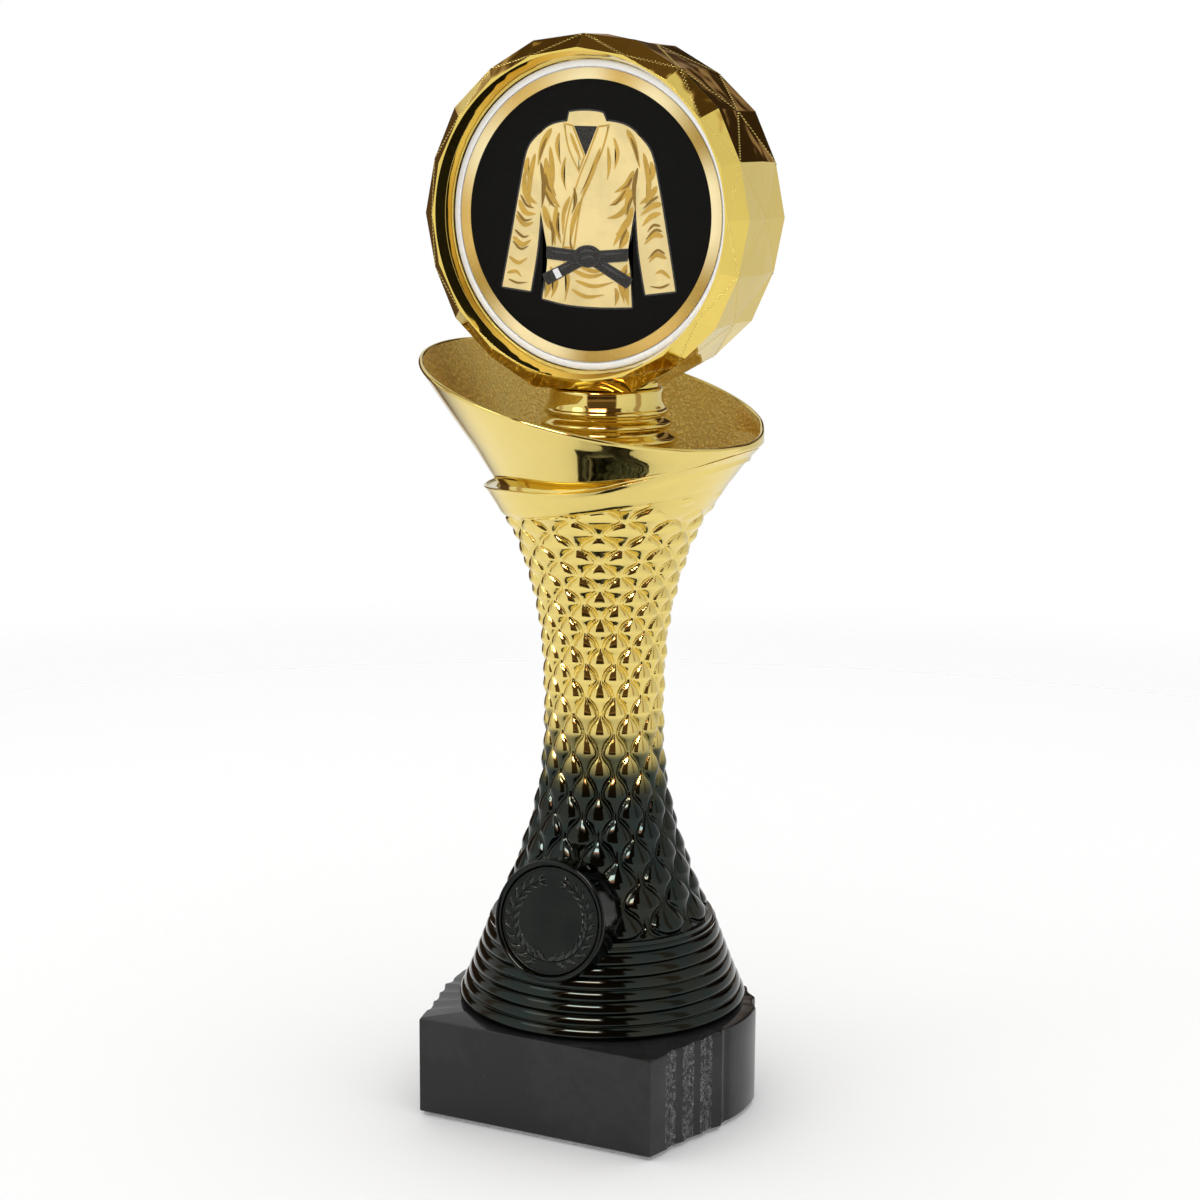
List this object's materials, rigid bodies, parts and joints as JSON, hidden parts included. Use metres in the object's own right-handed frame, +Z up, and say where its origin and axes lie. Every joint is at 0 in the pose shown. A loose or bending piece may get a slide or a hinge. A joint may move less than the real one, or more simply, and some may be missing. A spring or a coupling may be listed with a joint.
{
  "type": "cup trophy",
  "caption": "Cup trophy with a waisted scaled column, slanted cup and a turning round emblem holder on a fluted black marble base.",
  "frame": {"origin": "on the surface the trophy stands on, at the axis of its tie rod", "axes": "+Z up along the tie rod, -Y towards the front of the trophy, +X to the low side of the cup's rim"},
  "size_m": [0.0838, 0.0821, 0.2531],
  "materials": {
    "foam_pad": "matt closed-cell foam",
    "marble": "polished black marble with sandblasted flutes",
    "zinc_steel": "zinc plated",
    "rod_steel": "zinc plated thread",
    "plated_column": "vacuum-metallised gold fading to gloss black at the foot",
    "black_medal": "satin black with a low-relief wreath",
    "plated_gold": "mirror gold vacuum metallising",
    "white_plastic": "satin white",
    "printed_label": "matt black print inside a brushed gold foil ring"
  },
  "bodies": {
    "stand": {"base_pad": "foam_pad", "marble_base": "marble", "base_washer": "zinc_steel", "base_nut": "zinc_steel", "tie_rod": "rod_steel", "column": "plated_column", "medal_insert": "black_medal", "cup": "plated_gold", "riser": "plated_gold"},
    "emblem_head": {"emblem_holder": "plated_gold", "holder_nut": "zinc_steel", "holder_back_cover": "plated_gold", "insert_disc": "white_plastic", "emblem_label": "printed_label"}
  },
  "joints": [
    {"name": "holder_swivel", "type": "hinge", "parent": "stand", "child": "emblem_head", "pos_m": [0, 0, 0.1732], "axis": [0, 0, 1], "range_deg": [-90, 90]}
  ]
}
